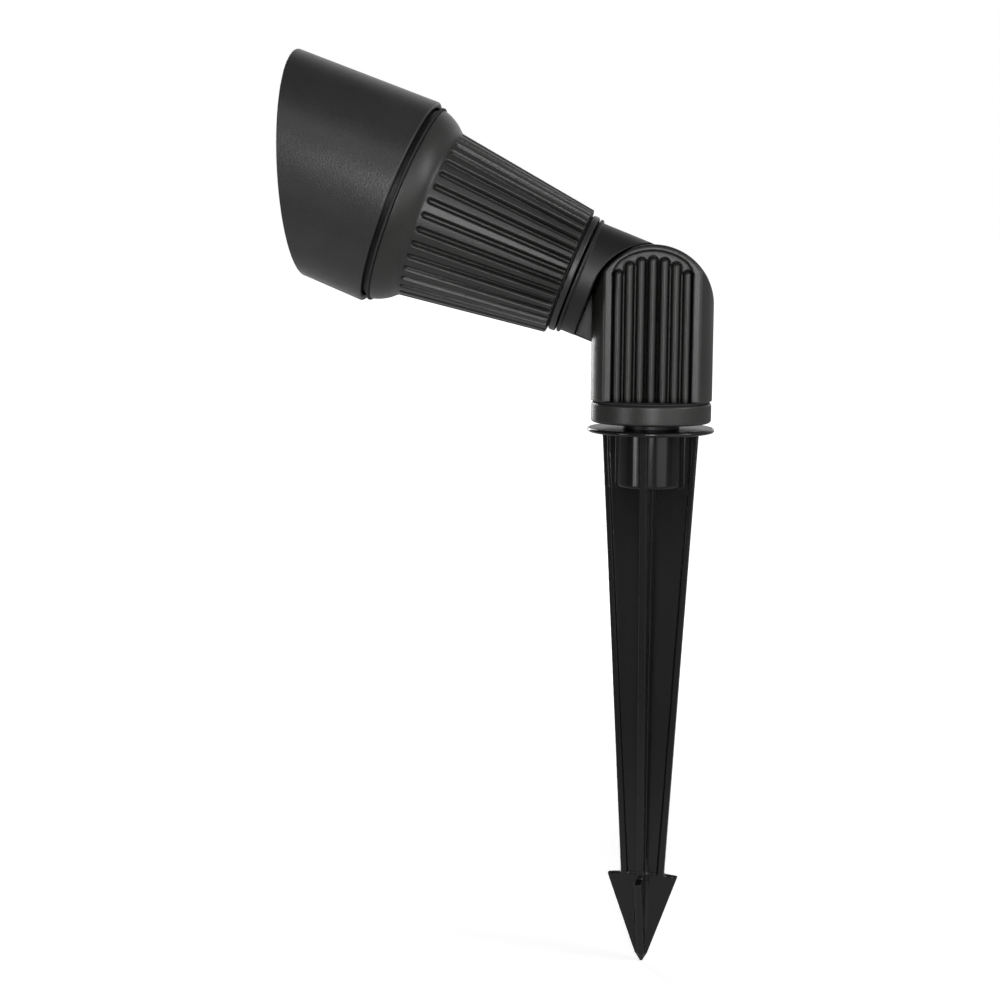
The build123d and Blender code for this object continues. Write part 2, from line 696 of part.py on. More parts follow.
def make_lamp_clip():
    """The open spring ring that keeps the lamp's rim on its ledge."""
    centre_r = lamp_recess_r - lamp_clip_section
    height = lamp_seat + lamp_rim_thick + lamp_clip_section
    section = Pos(centre_r, height) * Circle(lamp_clip_section)
    body = revolve(Plane.XZ * section, Axis.Z, 360 - lamp_clip_opening)
    return head_frame * Rotation(0, 0, 90 + lamp_clip_opening / 2) * body


nodes = {
    "stake": make_spike,
    "threaded_stem": make_stem,
    "base_collar": make_collar,
    "collar_gasket": make_collar_gasket,
    "lower_knuckle": make_lower_knuckle,
    "pivot_screw": make_pivot_screw,
    "pivot_lock_washer": make_lock_washer,
    "pivot_gasket": make_pivot_gasket,
    "upper_knuckle": make_upper_knuckle,
    "neck_lock_ring": make_neck_lock_ring,
    "neck_gasket": make_neck_gasket,
    "lamp_housing": make_lamp_housing,
    "lip_seal": make_lip_seal,
    "cowl_seal": make_cowl_seal,
    "cowl": make_cowl,
    "lens_gasket": make_lens_gasket,
    "lens": make_lens,
    "lens_retaining_ring": make_lens_ring,
    "lamp_body": make_lamp_body,
    "lamp_optic": make_lamp_optic,
    "lamp_pins": make_lamp_pins,
    "lamp_socket": make_lamp_socket,
    "lamp_clip": make_lamp_clip,
}
for name, make in nodes.items():
    export_step(make(), f"parts/{name}.step")
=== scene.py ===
import json
from math import atan2, cos, hypot, pi, radians, sin, tan

import bpy
import numpy as np
from mathutils import Matrix, Vector

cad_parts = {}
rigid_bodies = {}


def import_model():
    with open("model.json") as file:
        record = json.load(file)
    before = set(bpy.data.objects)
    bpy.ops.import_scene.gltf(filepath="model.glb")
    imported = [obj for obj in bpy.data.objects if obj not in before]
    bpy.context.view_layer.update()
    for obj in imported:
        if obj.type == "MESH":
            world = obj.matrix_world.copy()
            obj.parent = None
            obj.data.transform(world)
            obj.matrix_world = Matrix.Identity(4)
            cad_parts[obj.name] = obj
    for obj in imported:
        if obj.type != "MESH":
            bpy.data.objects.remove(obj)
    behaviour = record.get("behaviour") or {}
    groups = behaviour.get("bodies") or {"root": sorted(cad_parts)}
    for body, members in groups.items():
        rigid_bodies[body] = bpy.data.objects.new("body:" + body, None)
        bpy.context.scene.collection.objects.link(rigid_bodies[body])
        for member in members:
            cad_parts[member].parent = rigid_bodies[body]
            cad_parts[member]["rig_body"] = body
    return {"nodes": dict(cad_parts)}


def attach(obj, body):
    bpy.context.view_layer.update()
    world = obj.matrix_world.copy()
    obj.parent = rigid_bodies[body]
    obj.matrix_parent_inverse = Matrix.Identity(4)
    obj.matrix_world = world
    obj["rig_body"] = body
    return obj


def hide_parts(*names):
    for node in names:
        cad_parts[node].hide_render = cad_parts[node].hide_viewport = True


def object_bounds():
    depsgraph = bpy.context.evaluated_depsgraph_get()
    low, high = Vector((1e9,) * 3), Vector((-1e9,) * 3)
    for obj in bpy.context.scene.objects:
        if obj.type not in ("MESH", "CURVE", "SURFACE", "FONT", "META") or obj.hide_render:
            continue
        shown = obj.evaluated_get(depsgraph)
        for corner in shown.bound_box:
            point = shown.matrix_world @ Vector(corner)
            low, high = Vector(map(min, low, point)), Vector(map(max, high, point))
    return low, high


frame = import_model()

cad_low, cad_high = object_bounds()

# ---- Camera: the photograph's viewpoint, about the knuckle's pivot, in degrees and metres ----
PIVOT_HEIGHT = 45.7     # in millimetres, over the underside of the spike's flange
PIVOT = Vector((0, 0, PIVOT_HEIGHT / 1000))
VIEW_AZIMUTH = -0.749
VIEW_ELEVATION = 1.742
VIEW_DISTANCE = 0.705
PAN = -4.450            # how far the camera looks past the pivot, sideways and down
TILT = 5.776
ROLL = 0.457
FOCAL_LENGTH = 1935.1   # in pixels of the photograph
PHOTO_WIDTH = 1000      # in pixels
SENSOR_WIDTH = 36       # in millimetres


# ---- Node helpers ----
def new_material(name):
    material = bpy.data.materials.new(name)
    material.use_nodes = True
    nodes = material.node_tree.nodes
    return material, nodes, material.node_tree.links, nodes["Principled BSDF"]


def object_coordinates(nodes, links, scale):
    """Object coordinates in millimetres, stretched by scale on each axis."""
    where = nodes.new("ShaderNodeTexCoord")
    mapping = nodes.new("ShaderNodeMapping")
    mapping.inputs["Scale"].default_value = [1000 * part for part in scale]
    links.new(where.outputs["Object"], mapping.inputs["Vector"])
    return mapping.outputs["Vector"]


def noise(nodes, links, vector, scale, detail=2.0, roughness=0.5):
    texture = nodes.new("ShaderNodeTexNoise")
    texture.inputs["Scale"].default_value = scale
    texture.inputs["Detail"].default_value = detail
    texture.inputs["Roughness"].default_value = roughness
    links.new(vector, texture.inputs["Vector"])
    return texture.outputs["Fac"]


def ramp(nodes, links, value, low, high, low_colour, high_colour):
    scale = nodes.new("ShaderNodeValToRGB")
    scale.color_ramp.elements[0].position = low
    scale.color_ramp.elements[1].position = high
    scale.color_ramp.elements[0].color = (*low_colour, 1)
    scale.color_ramp.elements[1].color = (*high_colour, 1)
    links.new(value, scale.inputs["Fac"])
    return scale.outputs["Color"]


def spread(nodes, links, value, low, high, first=0.0, last=1.0):
    """Maps a value from first..last to low..high."""
    fit = nodes.new("ShaderNodeMapRange")
    fit.inputs["From Min"].default_value = first
    fit.inputs["From Max"].default_value = last
    fit.inputs["To Min"].default_value = low
    fit.inputs["To Max"].default_value = high
    links.new(value, fit.inputs["Value"])
    return fit.outputs["Result"]


def bump(nodes, links, shader, height, strength, distance_mm, before=None):
    step = nodes.new("ShaderNodeBump")
    step.inputs["Strength"].default_value = strength
    step.inputs["Distance"].default_value = distance_mm / 1000
    links.new(height, step.inputs["Height"])
    if before is not None:
        links.new(before, step.inputs["Normal"])
    links.new(step.outputs["Normal"], shader.inputs["Normal"])
    return step.outputs["Normal"]


def times(nodes, links, colour, factor):
    """The colour made lighter or darker by a factor."""
    tone = nodes.new("ShaderNodeVectorMath")
    tone.operation = "SCALE"
    links.new(colour, tone.inputs["Vector"])
    links.new(factor, tone.inputs["Scale"])
    return tone.outputs["Vector"]


RECESS_REACH = 2.5      # millimetres to the walls that make a place a recess
RECESS_SHADE = 0.15     # share of its colour that the deepest recess keeps
FULL_SHINE = 0.5


def painted_recess_shade(nodes, links, shader, colour):
    """Painted shade: takes colour and shine away in narrow recesses, for the shade that falls there."""
    occlusion = nodes.new("ShaderNodeAmbientOcclusion")
    occlusion.inputs["Distance"].default_value = RECESS_REACH / 1000
    occlusion.samples = 6
    open_share = spread(nodes, links, occlusion.outputs["AO"], RECESS_SHADE, 1.0, first=0.35, last=0.85)
    links.new(times(nodes, links, colour, open_share), shader.inputs["Base Color"])
    shine = spread(nodes, links, open_share, 0.0, FULL_SHINE)
    links.new(shine, shader.inputs["Specular IOR Level"])


EDGE_LIGHTER = 7.0      # how many times lighter the sharpest edge is


def painted_edge_highlight(nodes, links, colour):
    """Painted highlight: lightens the sharpest edges, as if light caught them."""
    surface = nodes.new("ShaderNodeNewGeometry")
    edge = spread(nodes, links, surface.outputs["Pointiness"], 1.0, EDGE_LIGHTER, first=0.53, last=0.60)
    return times(nodes, links, colour, edge)


def grey(value, warmth=0.0):
    return (value * (1 + warmth), value, value * (1 - warmth))


# ---- Materials ----
def powder_coat(name, shade, warmth, rough, grain_mm, grain_strength, recesses=True):
    """Matt black powder coat: fine grain, slightly cloudy colour and gloss."""
    material, nodes, links, shader = new_material(name)
    where = object_coordinates(nodes, links, (1, 1, 1))
    grain = noise(nodes, links, where, scale=1 / grain_mm, detail=3.0, roughness=0.6)
    cloud = noise(nodes, links, where, scale=0.06, detail=3.0)
    darker = grey(shade * 0.86, warmth)
    lighter = grey(shade * 1.14, warmth)
    colour = ramp(nodes, links, cloud, 0.3, 0.7, darker, lighter)
    # Painted shade in narrow recesses, or else a painted highlight on the sharpest edges.
    if recesses:
        painted_recess_shade(nodes, links, shader, colour)
    else:
        links.new(painted_edge_highlight(nodes, links, colour), shader.inputs["Base Color"])
    links.new(spread(nodes, links, grain, rough - 0.07, rough + 0.09), shader.inputs["Roughness"])
    orange_peel = noise(nodes, links, where, scale=0.35, detail=1.0)
    soft = bump(nodes, links, shader, orange_peel, strength=0.15, distance_mm=0.12)
    bump(nodes, links, shader, grain, strength=grain_strength, distance_mm=0.06, before=soft)
    return material


def moulded_plastic(name, shade, rough):
    """Glossy moulded plastic, with faint flow marks along the spike."""
    material, nodes, links, shader = new_material(name)
    along = object_coordinates(nodes, links, (1, 1, 0.12))
    around = object_coordinates(nodes, links, (1, 1, 1))
    flow = noise(nodes, links, along, scale=0.25, detail=3.0, roughness=0.55)
    fine = noise(nodes, links, around, scale=3.0)
    colour = ramp(nodes, links, flow, 0.3, 0.75, grey(shade * 0.85), grey(shade * 1.2))
    links.new(colour, shader.inputs["Base Color"])
    links.new(spread(nodes, links, flow, rough - 0.03, rough + 0.05), shader.inputs["Roughness"])
    # Painted shade: the faces that look up lose nearly all their reflection, so they look darker.
    surface = nodes.new("ShaderNodeNewGeometry")
    axes = nodes.new("ShaderNodeSeparateXYZ")
    links.new(surface.outputs["Normal"], axes.inputs["Vector"])
    shine = spread(nodes, links, axes.outputs["Z"], 0.4, 0.005, first=0.90, last=0.98)
    links.new(shine, shader.inputs["Specular IOR Level"])
    soft = bump(nodes, links, shader, flow, strength=0.3, distance_mm=0.15)
    bump(nodes, links, shader, fine, strength=0.12, distance_mm=0.02, before=soft)
    return material


def rubber(name, shade):
    material, nodes, links, shader = new_material(name)
    where = object_coordinates(nodes, links, (1, 1, 1))
    fine = noise(nodes, links, where, scale=2.5)
    colour = ramp(nodes, links, fine, 0.3, 0.7, grey(shade * 0.8), grey(shade * 1.25))
    links.new(colour, shader.inputs["Base Color"])
    shader.inputs["Roughness"].default_value = 0.72
    bump(nodes, links, shader, fine, strength=0.2, distance_mm=0.03)
    return material


def metal(name, colour, rough):
    material, nodes, links, shader = new_material(name)
    where = object_coordinates(nodes, links, (1, 1, 1))
    marks = noise(nodes, links, where, scale=2.0, detail=3.0)
    dark = [part * 0.82 for part in colour]
    links.new(ramp(nodes, links, marks, 0.3, 0.7, dark, colour), shader.inputs["Base Color"])
    shader.inputs["Metallic"].default_value = 1.0
    links.new(spread(nodes, links, marks, rough - 0.05, rough + 0.1), shader.inputs["Roughness"])
    bump(nodes, links, shader, marks, strength=0.15, distance_mm=0.01)
    return material


def glass(name, tint):
    material, nodes, links, shader = new_material(name)
    where = object_coordinates(nodes, links, (1, 1, 1))
    haze = noise(nodes, links, where, scale=0.1)
    darker = [part * 0.98 for part in tint]
    links.new(ramp(nodes, links, haze, 0.2, 0.8, darker, tint), shader.inputs["Base Color"])
    links.new(spread(nodes, links, haze, 0.01, 0.04), shader.inputs["Roughness"])
    shader.inputs["Transmission Weight"].default_value = 1.0
    shader.inputs["IOR"].default_value = 1.5
    return material


def pale_solid(name, colour, rough, grain_mm):
    """Ceramic or pale moulded plastic."""
    material, nodes, links, shader = new_material(name)
    where = object_coordinates(nodes, links, (1, 1, 1))
    grain = noise(nodes, links, where, scale=1 / grain_mm, detail=3.0)
    darker = [part * 0.93 for part in colour]
    links.new(ramp(nodes, links, grain, 0.3, 0.7, darker, colour), shader.inputs["Base Color"])
    shader.inputs["Roughness"].default_value = rough
    bump(nodes, links, shader, grain, strength=0.15, distance_mm=0.03)
    return material


BODY_PAINT = powder_coat(
    "body_paint", shade=0.019, warmth=0.04, rough=0.36, grain_mm=0.50, grain_strength=0.6,
)
COWL_PAINT = powder_coat(
    "cowl_paint", shade=0.024, warmth=0.0, rough=0.34, grain_mm=0.60, grain_strength=1.3, recesses=False,
)
# The neck has the body's black powder coat; here it is painted far darker, as painted shade for the shade
# that falls on it beside the knuckle.
NECK_SHADED_PAINT = powder_coat(
    "neck_shaded_paint", shade=0.005, warmth=0.02, rough=0.45, grain_mm=0.40, grain_strength=0.4,
)
SPIKE_PLASTIC = moulded_plastic("spike_plastic", shade=0.006, rough=0.15)
BLACK_RUBBER = rubber("black_rubber", shade=0.012)
BLACK_ZINC = metal("black_zinc", (0.06, 0.06, 0.065), rough=0.4)
STAINLESS = metal("stainless", (0.6, 0.6, 0.58), rough=0.3)
BRASS = metal("brass", (0.75, 0.58, 0.3), rough=0.3)
LENS_GLASS = glass("lens_glass", (0.93, 0.96, 0.95))
OPTIC_GLASS = glass("optic_glass", (0.95, 0.95, 0.93))
LAMP_SHELL = pale_solid("lamp_shell", (0.75, 0.75, 0.74), rough=0.45, grain_mm=0.5)
CERAMIC = pale_solid("ceramic", (0.8, 0.78, 0.72), rough=0.7, grain_mm=0.3)

node_materials = {
    "stake": SPIKE_PLASTIC,
    "threaded_stem": BLACK_ZINC,
    "base_collar": BODY_PAINT,
    "collar_gasket": BLACK_RUBBER,
    "lower_knuckle": BODY_PAINT,
    "pivot_screw": STAINLESS,
    "pivot_lock_washer": STAINLESS,
    "pivot_gasket": BLACK_RUBBER,
    "upper_knuckle": NECK_SHADED_PAINT,
    "neck_lock_ring": BODY_PAINT,
    "neck_gasket": BLACK_RUBBER,
    "lamp_housing": BODY_PAINT,
    "lip_seal": BLACK_RUBBER,
    "cowl_seal": BLACK_RUBBER,
    "cowl": COWL_PAINT,
    "lens_gasket": BLACK_RUBBER,
    "lens": LENS_GLASS,
    "lens_retaining_ring": BODY_PAINT,
    "lamp_body": LAMP_SHELL,
    "lamp_optic": OPTIC_GLASS,
    "lamp_pins": BRASS,
    "lamp_socket": CERAMIC,
    "lamp_clip": STAINLESS,
}
for node, material in node_materials.items():
    mesh = frame["nodes"][node].data
    mesh.materials.clear()
    mesh.materials.append(material)


# ---- Meshes: sizes in millimetres, in the head's frame ----
# The head's frame has its origin on the pivot and its Z along the head, towards the lens.
HEAD_TILT = 21.6        # degrees above the horizon
COWL_TURNED = -8.0      # degrees about the head's Z
TURN_STEPS = 240        # faces around a turned piece
SHARP_ABOVE = 32.0      # degrees between two faces
NEVER_SHARP = 180.0
HEAD = Matrix.Translation(PIVOT) @ Matrix.Rotation(radians(HEAD_TILT - 90), 4, "Y")
WORLD = Matrix.Identity(4)


def bent(corner, before, after, radius, steps=5):
    """The points of the arc of that radius which rounds an outline's corner."""
    to_before = np.subtract(before, corner) / hypot(*np.subtract(before, corner))
    to_after = np.subtract(after, corner) / hypot(*np.subtract(after, corner))
    middle = to_before + to_after
    half = atan2(hypot(*(to_before - to_after)), hypot(*middle))
    centre = corner + middle / hypot(*middle) * radius / sin(half)
    start = corner + to_before * radius / tan(half) - centre
    end = corner + to_after * radius / tan(half) - centre
    first = atan2(start[1], start[0])
    sweep = (atan2(end[1], end[0]) - first + pi) % (2 * pi) - pi
    angles = first + sweep * np.arange(steps + 1) / steps
    return [tuple(centre + radius * np.array((cos(a), sin(a)))) for a in angles]


def rounded(corners):
    """A closed outline from (radius, height, rounding) corners."""
    outline = []
    for number, (r, z, rounding) in enumerate(corners):
        if rounding:
            before = corners[number - 1][:2]
            after = corners[(number + 1) % len(corners)][:2]
            outline += bent((r, z), before, after, rounding)
        else:
            outline.append((r, z))
    return outline


def grid_piece(name, points, place, node):
    """A piece from a grid of points, closed in both directions, which stands for a CAD node."""
    rows, columns = points.shape[:2]
    number = np.arange(rows * columns).reshape(rows, columns)
    beside = np.roll(number, -1, axis=1)
    faces = np.stack((number, beside, np.roll(beside, -1, axis=0), np.roll(number, -1, axis=0)), axis=-1)
    mesh = bpy.data.meshes.new(name)
    mesh.from_pydata((points.reshape(-1, 3) / 1000).tolist(), [], faces.reshape(-1, 4).tolist())
    mesh.transform(place)
    return finished(name, mesh, node, SHARP_ABOVE)


def finished(name, mesh, node, creased):
    """Shades a mesh, gives it the node's material and body, and puts it in the node's place."""
    mesh.validate()
    mesh.shade_smooth()
    mesh.set_sharp_from_angle(angle=radians(creased))
    mesh.materials.clear()
    mesh.materials.append(node_materials[node])
    piece = bpy.data.objects.new(name, mesh)
    bpy.context.scene.collection.objects.link(piece)
    even = piece.modifiers.new("even_shading", "WEIGHTED_NORMAL")
    even.keep_sharp = True
    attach(piece, frame["nodes"][node]["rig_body"])
    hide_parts(node)
    return piece


def turned(name, corners, place, node):
    """A turned piece from the rounded outline of its section."""
    outline = np.array(rounded(corners))
    around = 2 * pi * np.arange(TURN_STEPS) / TURN_STEPS
    points = np.empty((TURN_STEPS, len(outline), 3))
    points[..., 0] = np.cos(around)[:, None] * outline[:, 0]
    points[..., 1] = np.sin(around)[:, None] * outline[:, 0]
    points[..., 2] = outline[:, 1]
    return grid_piece(name, points, place, node)


def modified(mesh, kind, **settings):
    """The mesh that one modifier makes of a mesh."""
    holder = bpy.data.objects.new("holder", mesh)
    bpy.context.scene.collection.objects.link(holder)
    modifier = holder.modifiers.new("step", kind)
    for setting, value in settings.items():
        setattr(modifier, setting, value)
    shape = holder.evaluated_get(bpy.context.evaluated_depsgraph_get())
    made = bpy.data.meshes.new_from_object(shape)
    bpy.data.objects.remove(holder)
    return made


def cast(name, node, voxel, passes, reshape=None):
    """A piece from a CAD node's shape, with every edge softened as a mould leaves it."""
    mesh = modified(frame["nodes"][node].data.copy(), "REMESH", mode="VOXEL", voxel_size=voxel / 1000)
    if reshape:
        points = np.empty(len(mesh.vertices) * 3)
        mesh.vertices.foreach_get("co", points)
        points = reshape(points.reshape(-1, 3) * 1000) / 1000
        mesh.vertices.foreach_set("co", points.ravel())
    mesh = modified(mesh, "SMOOTH", factor=0.5, iterations=passes)
    return finished(name, mesh, node, NEVER_SHARP)


# ---- Cowl ----
COWL_REAR = 98.5
COWL_TOP = 55.4
COWL_BOTTOM = 22.9
COWL_R = 38.29
COWL_TAPER = 1.1
COWL_WALL = 2.0
COWL_STOP_REAR = 113.15
COWL_STOP_FRONT = 114.35
COWL_STOP_R = 34.7
COWL_STOP_ROUND = 0.2
SEAL_GROOVE_REAR = 103.35
SEAL_GROOVE_FRONT = 105.25
SEAL_GROOVE_R = 37.12
COWL_REAR_ROUND = 0.8
COWL_BORE_ROUND = 0.3
COWL_RIM_ROUND = 0.45


def make_cowl():
    """The slanted tube: its section is worked out at each place around, because its length changes."""
    bore_r = COWL_R - COWL_WALL
    lean = COWL_TAPER / COWL_TOP
    middle = COWL_REAR + (COWL_TOP + COWL_BOTTOM) / 2
    slope = (COWL_TOP - COWL_BOTTOM) / (2 * COWL_R)
    sections = []
    for step in range(TURN_STEPS):
        around = 2 * pi * step / TURN_STEPS
        rise = slope * cos(around)
        front = (middle + rise * (COWL_R + lean * COWL_REAR)) / (1 + rise * lean)
        front_r = COWL_R - lean * (front - COWL_REAR)
        inner_front = front - rise * COWL_WALL
        outline = rounded([
            (bore_r, COWL_REAR, COWL_BORE_ROUND),
            (COWL_R, COWL_REAR, COWL_REAR_ROUND),
            (front_r, front, COWL_RIM_ROUND),
            (front_r - COWL_WALL, inner_front, COWL_RIM_ROUND),
            (bore_r, COWL_STOP_FRONT, 0.0),
            (COWL_STOP_R, COWL_STOP_FRONT, COWL_STOP_ROUND),
            (COWL_STOP_R, COWL_STOP_REAR, COWL_STOP_ROUND),
            (bore_r, COWL_STOP_REAR, 0.0),
            (bore_r, SEAL_GROOVE_FRONT, 0.0),
            (SEAL_GROOVE_R, SEAL_GROOVE_FRONT, 0.0),
            (SEAL_GROOVE_R, SEAL_GROOVE_REAR, 0.0),
            (bore_r, SEAL_GROOVE_REAR, 0.0),
        ])
        sections.append([(r * cos(around), r * sin(around), z) for r, z in outline])
    place = HEAD @ Matrix.Rotation(radians(COWL_TURNED), 4, "Z")
    return grid_piece("cowl_shell", np.array(sections), place, "cowl")


# ---- Lamp housing ----
HOUSING_REAR = 32.6
CONE_FRONT = 87.3
SHOULDER_FRONT = 95.9
BARREL_FRONT = 112.8
CONE_REAR_R = 23.6
CONE_FRONT_R = 31.2
SHOULDER_R = 36.3
SHOULDER_BEND = (34.36, 91.17)      # where the shoulder's arc passes, halfway
SHOULDER_ROUND = 0.3
BARREL_R = 35.3
BARREL_CHAMFER = 0.6
REAR_ROUND = 0.5
REAR_WALL_ROW = 4.0     # how far inside the cone's edge the rear wall's row lies
SPIGOT_HOLE_R = 9.95
LENS_RECESS_R = 32.55
LENS_SEAT = 106.3
LAMP_RECESS_R = 26.2
LAMP_SEAT = 101.3
LEDGE_R = 24.4
LEDGE_REAR = 99.3
CHAMBER_FRONT_R = 28.4
CHAMBER_REAR_R = 21.5
CHAMBER_REAR = 37.8
GROOVES = 36
GROOVE_HALF = 0.9
GROOVE_SOFT = 0.6
GROOVE_REAR_DEPTH = 1.9
GROOVE_FRONT_DEPTH = 1.3
GROOVE_START = 1.2      # how far behind the cone's front a groove begins
# Places across half a groove, in millimetres from its middle, and across the land beside it.
GROOVE_PLACES = [0.15, 0.3, 0.45, 0.6, 0.75, 0.9, 1.05, 1.2, 1.33, 1.46, 1.6]
LAND_SHARES = (0.33, 0.67)


def arc_through(start, middle, end, steps):
    """Points of the arc through three points."""
    (ax, ay), (bx, by), (cx, cy) = start, middle, end
    double = 2 * (ax * (by - cy) + bx * (cy - ay) + cx * (ay - by))
    a, b, c = ax * ax + ay * ay, bx * bx + by * by, cx * cx + cy * cy
    x = (a * (by - cy) + b * (cy - ay) + c * (ay - by)) / double
    y = (a * (cx - bx) + b * (ax - cx) + c * (bx - ax)) / double
    first = atan2(ay - y, ax - x)
    last = atan2(cy - y, cx - x)
    radius = hypot(ax - x, ay - y)
    angles = first + (last - first) * np.arange(steps + 1) / steps
    return [(x + radius * cos(t), y + radius * sin(t)) for t in angles]


def housing_outside():
    """The (radius, height) rows of the outside, from the rear wall to the barrel's front."""
    lean = (CONE_FRONT_R - CONE_REAR_R) / (CONE_FRONT - HOUSING_REAR)
    groove_end = CONE_FRONT - GROOVE_START
    rows = [(CONE_REAR_R - REAR_WALL_ROW, HOUSING_REAR)]
    rows += bent((CONE_REAR_R, HOUSING_REAR), rows[0], (CONE_FRONT_R, CONE_FRONT), REAR_ROUND)
    # Rows along the cone are close together where the grooves' round ends lie.
    for z in np.linspace(HOUSING_REAR + 1.0, groove_end - 2.5, 22):
        rows.append((CONE_REAR_R + lean * (z - HOUSING_REAR), z))
    for z in np.linspace(groove_end - 2.3, groove_end + 0.7, 26):
        rows.append((CONE_REAR_R + lean * (z - HOUSING_REAR), z))
    shoulder = arc_through((CONE_FRONT_R, CONE_FRONT), SHOULDER_BEND, (SHOULDER_R, SHOULDER_FRONT), 24)
    # The waist between cone and shoulder is a smooth curve from the last row to the arc.
    waist = np.array((CONE_FRONT_R, CONE_FRONT))
    leave = np.array(rows[-1])
    meet = np.array(shoulder[5])
    for t in np.linspace(0.12, 1, 9):
        rows.append(tuple((1 - t) ** 2 * leave + 2 * t * (1 - t) * waist + t * t * meet))
    rows += shoulder[6:-2]
    rows += bent(shoulder[-1], shoulder[-2], (BARREL_R, SHOULDER_FRONT), SHOULDER_ROUND)
    rows.append((BARREL_R, SHOULDER_FRONT))
    rows.append((BARREL_R, BARREL_FRONT - BARREL_CHAMFER))
    rows.append((BARREL_R - BARREL_CHAMFER, BARREL_FRONT))
    return rows


def housing_inside():
    """The (radius, height) rows of the inside, from the barrel's front to the rear wall."""
    return [
        (LENS_RECESS_R, BARREL_FRONT), (LENS_RECESS_R, LENS_SEAT),
        (LAMP_RECESS_R, LENS_SEAT), (LAMP_RECESS_R, LAMP_SEAT),
        (LEDGE_R, LAMP_SEAT), (LEDGE_R, LEDGE_REAR),
        (CHAMBER_FRONT_R, CONE_FRONT), (CHAMBER_REAR_R, CHAMBER_REAR),
        (SPIGOT_HOLE_R, CHAMBER_REAR), (SPIGOT_HOLE_R, HOUSING_REAR),
    ]


def groove_depth(offset, z):
    """How deep the softened groove lies under the cone at an offset from its middle."""
    end = CONE_FRONT - GROOVE_START - GROOVE_HALF
    inside = GROOVE_HALF - hypot(offset, max(0.0, z - end))
    share = min(1.0, max(0.0, (inside + GROOVE_SOFT) / (2 * GROOVE_SOFT)))
    along = min(1.0, (CONE_FRONT - z) / (CONE_FRONT - HOUSING_REAR))
    full = GROOVE_FRONT_DEPTH + (GROOVE_REAR_DEPTH - GROOVE_FRONT_DEPTH) * along
    return full * share * share * (3 - 2 * share)


def make_housing():
    outside = housing_outside()
    inside = housing_inside()
    across = [-offset for offset in reversed(GROOVE_PLACES)] + [0.0] + GROOVE_PLACES
    pitch = 2 * pi / GROOVES
    rows = []
    for number, (r, z) in enumerate(outside + inside):
        grooved = 0 < number < len(outside) and z < CONE_FRONT
        row = []
        for groove in range(GROOVES):
            for offset in across:
                depth = groove_depth(offset, z) if grooved else 0.0
                around = groove * pitch + offset / max(r, CONE_REAR_R)
                row.append(((r - depth) * cos(around), (r - depth) * sin(around), z))
            for share in LAND_SHARES:
                edge = across[-1] / max(r, CONE_REAR_R)
                around = groove * pitch + edge + share * (pitch - 2 * edge)
                row.append((r * cos(around), r * sin(around), z))
        rows.append(row)
    return grid_piece("housing_casting", np.array(rows), HEAD, "lamp_housing")


# ---- Ribs of the knuckle ----
POCKET_FLOOR_Y = -11.5
FLOOR_REACH = 0.4       # how far behind its floor the pocket is still reshaped
RIB_COUNT = 7
RIB_PITCH = 4.11
RIB_R = 2.03
RIB_ENDS_R = 18.0
RIB_FOOT = 0.8          # share of its radius that a rib's softened foot reaches
VALLEY_DEPTH = 0.35     # how far the valleys sink below the pocket's floor


def slimmer_ribs(points):
    """Leaves wider, deeper valleys between the ribs, as their draft and paint do."""
    x, y, z = points.T
    nearest = np.full(len(points), np.inf)
    for number in range(RIB_COUNT):
        rib_x = (number - (RIB_COUNT - 1) / 2) * RIB_PITCH
        rib_top = PIVOT_HEIGHT + (RIB_ENDS_R**2 - rib_x**2) ** 0.5 - RIB_R
        nearest = np.minimum(nearest, np.hypot(x - rib_x, np.maximum(0, z - rib_top)))
    share = nearest / (RIB_R * RIB_FOOT)
    height = np.sqrt(np.clip(1 - share**2, 0, 1)) * (RIB_R + VALLEY_DEPTH) - VALLEY_DEPTH
    ribbed = (y < POCKET_FLOOR_Y + FLOOR_REACH) & (nearest < RIB_R)
    shaped = points.copy()
    shaped[ribbed, 1] = POCKET_FLOOR_Y - height[ribbed]
    return shaped


# ---- Rim of the spike's flange ----
FLANGE_R = 23.1
FLANGE_THICK = 1.6
UNDERSIDE_REACH = 0.1   # how far below its underside the flange is still reshaped


def rounder_flange(points):
    """Rounds the flange's rim fully."""
    half = FLANGE_THICK / 2
    x, y, z = points.T
    reach = np.hypot(x, y)
    from_middle = np.clip((z - half) / half, -1, 1)
    limit = FLANGE_R - half + half * np.sqrt(1 - from_middle**2)
    rim = (reach > limit) & (z > -UNDERSIDE_REACH)
    shaped = points.copy()
    shaped[rim, :2] *= (limit[rim] / reach[rim])[:, None]
    return shaped


# ---- Turned rings ----
STEM_HOLE_R = 10.5
COLLAR_R = 21.8
COLLAR_FOOT = 3.6
COLLAR_TOP = 10.9
COLLAR_ROUND = 1.0
COLLAR_SEAL_R = 21.2
COLLAR_SEAL_TOP = 11.5
NECK_RING_R = 21.9
NECK_RING_REAR = 29.5
NECK_RING_FRONT = 32.0
NECK_RING_ROUND = 0.6
NECK_SEAL_R = 21.0
SEAL_ROUND = 0.2
LIP_INNER_R = 35.35
LIP_R = 37.0
LIP_REAR = 95.95
LIP_FRONT = 96.85
LIP_ROUND = 0.3


def ring(inner_r, outer_r, low, high, rounding):
    """The section of a ring whose outer edges are rounded."""
    return [(inner_r, low, 0.0), (outer_r, low, rounding), (outer_r, high, rounding), (inner_r, high, 0.0)]


